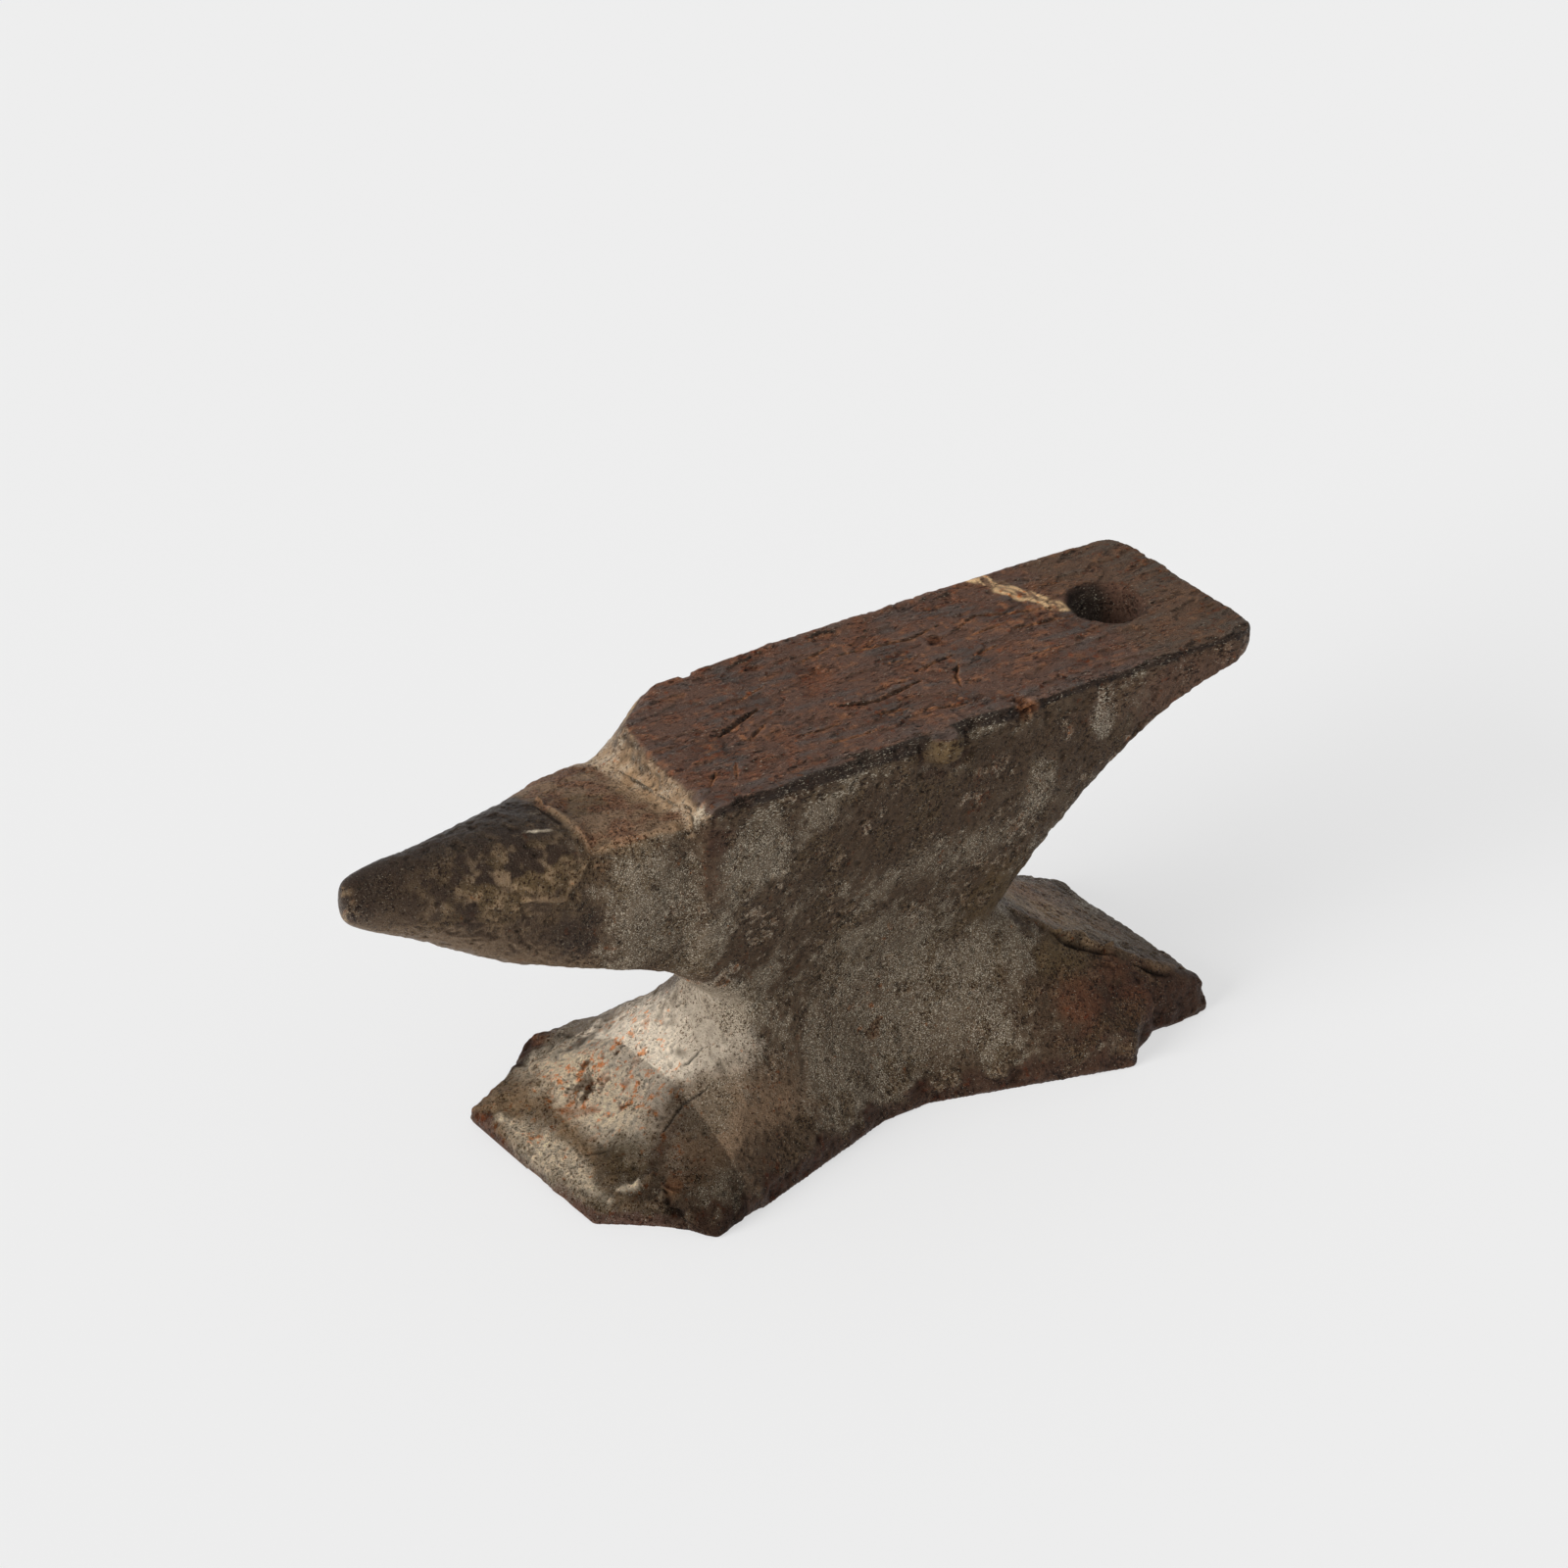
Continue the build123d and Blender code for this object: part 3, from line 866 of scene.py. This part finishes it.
GRAIN, SPECKLE, FRECKLE = 1.1, 2.4, 0.34  # cycles per millimetre of the three fine patterns
RICH, PLAIN = 5.0, 2.0  # detail in a pattern
PIT_BLUR, FLECK_BLUR, RUST_BLUR = 0.05, 0.04, 0.05  # how softly the spots end
BUMP_HEIGHT = 1.2
SPECKLE_RELIEF = 0.4  # height of the fine speckle pattern, as a share of the grain's
METALLIC, SPECULAR = 0.45, 0.25
GLINT_GLOSS = 0.25  # how much glossier the bright specks are
ROUGH, SMOOTH = 0.85, 0.20  # roughness where the gloss is 0 and 1


def iron_material(name, stretch):
    """Pitted, rusted iron.  Stretch draws the fine grain out along the face."""
    made = bpy.data.materials.new(name)
    made.use_nodes = True
    tree = made.node_tree
    tree.nodes.clear()
    place = shader(tree, "ShaderNodeTexCoord").outputs["Object"]
    drawn = shader(tree, "ShaderNodeMapping", Vector=place, Scale=stretch).outputs["Vector"]
    grain = texture(tree, drawn, GRAIN, RICH)
    speckle = texture(tree, drawn, SPECKLE, PLAIN)
    freckle = texture(tree, place, FRECKLE, RICH)
    pits = spots(tree, grain, attribute(tree, "pits"), PIT_BLUR)
    flecks = spots(tree, speckle, attribute(tree, "flecks"), FLECK_BLUR)
    rust = spots(tree, freckle, attribute(tree, "rust"), RUST_BLUR)
    colour = blended(tree, "MULTIPLY", pits, attribute(tree, "tone"), (*SHADE, 1))
    # Bright specks of bare metal, painted lighter as glints.
    colour = blended(tree, "MIX", flecks, colour, (*GLINT, 1))
    colour = blended(tree, "MULTIPLY", rust, colour, (*CLAY, 1))
    gloss = shader(
        tree,
        "ShaderNodeMath",
        {"operation": "MULTIPLY_ADD"},
        i0=flecks,
        i1=GLINT_GLOSS,
        i2=attribute(tree, "gloss"),
    )
    rough = shader(
        tree, "ShaderNodeMapRange", Value=gloss.outputs[0], To_Min=ROUGH, To_Max=SMOOTH
    )
    relief = shader(
        tree,
        "ShaderNodeMath",
        {"operation": "MULTIPLY_ADD"},
        i0=speckle,
        i1=SPECKLE_RELIEF,
        i2=grain,
    )
    bump = shader(tree, "ShaderNodeBump", Distance=BUMP_HEIGHT * MM, Height=relief.outputs[0])
    surface = shader(
        tree,
        "ShaderNodeBsdfPrincipled",
        Metallic=METALLIC,
        Specular_IOR_Level=SPECULAR,
        Base_Color=colour,
        Roughness=rough.outputs["Result"],
        Normal=bump.outputs["Normal"],
    )
    shader(tree, "ShaderNodeOutputMaterial", Surface=surface.outputs["BSDF"])
    return made


PAPER, PAPER_ROUGHNESS, PAPER_GLOW = 0.30, 0.9, 0.59


def paper_material():
    """Pale paper, lit a little from below like a light table."""
    made = bpy.data.materials.new("paper")
    made.use_nodes = True
    surface = made.node_tree.nodes["Principled BSDF"]
    surface.inputs["Base Color"].default_value = (PAPER, PAPER, PAPER, 1)
    surface.inputs["Roughness"].default_value = PAPER_ROUGHNESS
    surface.inputs["Emission Color"].default_value = (1, 1, 1, 1)
    surface.inputs["Emission Strength"].default_value = PAPER_GLOW
    return made


# ---------------------------------------------------------------- studio
FLOOR_SIZE = 6000.0
CAMERA_AT = (-0.91444, -1.31225, 1.02251)  # metres
CAMERA_AZIMUTH, CAMERA_ELEVATION = -34.22, 29.906  # degrees
LENS, SENSOR = 135.0, 36.0
WORLD_STRENGTH = 0.44
KEY_STRENGTH = 3.8
KEY_FROM = (-1.0, -0.12, 0.34)  # direction the light comes from
KEY_SOFTNESS = 36.0  # degrees


def floor():
    half = FLOOR_SIZE / 2
    corners = [(x, y, 0) for x, y in rectangle(-half, half, -half, half)]
    made = mesh_object("floor", corners, [(0, 1, 2, 3)])
    made.data.materials.append(paper_material())


def lights():
    scene = bpy.context.scene
    scene.world = bpy.data.worlds.new("studio")
    scene.world.use_nodes = True
    background = scene.world.node_tree.nodes["Background"]
    background.inputs["Color"].default_value = (1, 1, 1, 1)
    background.inputs["Strength"].default_value = WORLD_STRENGTH
    lamp = bpy.data.lights.new("key", "SUN")
    lamp.energy = KEY_STRENGTH
    lamp.angle = radians(KEY_SOFTNESS)
    key = bpy.data.objects.new("key", lamp)
    key.rotation_mode = "QUATERNION"
    key.rotation_quaternion = Vector(KEY_FROM).to_track_quat("Z", "Y")
    scene.collection.objects.link(key)
    scene.view_settings.view_transform = "Standard"


def camera():
    turn, rise = radians(CAMERA_AZIMUTH), radians(CAMERA_ELEVATION)
    back = Vector((sin(turn) * cos(rise), -cos(turn) * cos(rise), sin(rise)))
    lens = bpy.data.cameras.new("camera")
    lens.lens = LENS
    lens.sensor_width = SENSOR
    made = bpy.data.objects.new("camera", lens)
    made.location = CAMERA_AT
    made.rotation_mode = "QUATERNION"
    made.rotation_quaternion = (-back).to_track_quat("-Z", "Y")
    bpy.context.scene.collection.objects.link(made)
    bpy.context.scene.camera = made


# ---------------------------------------------------------------- the scene
materials = {
    "wrought_iron": iron_material("wrought_iron", (1, 1, 1)),
    "face_steel": iron_material("face_steel", (0.4, 1, 1)),
}
skin = grown_skin()
mark_strengths = shaped(skin)
tone, patterns = painted(skin, mark_strengths)
lookup = vertex_lookup(skin)
for node, piece in divided(skin).items():
    finish_piece(piece, node, lookup, tone, patterns)
remove(skin)
floor()
lights()
camera()
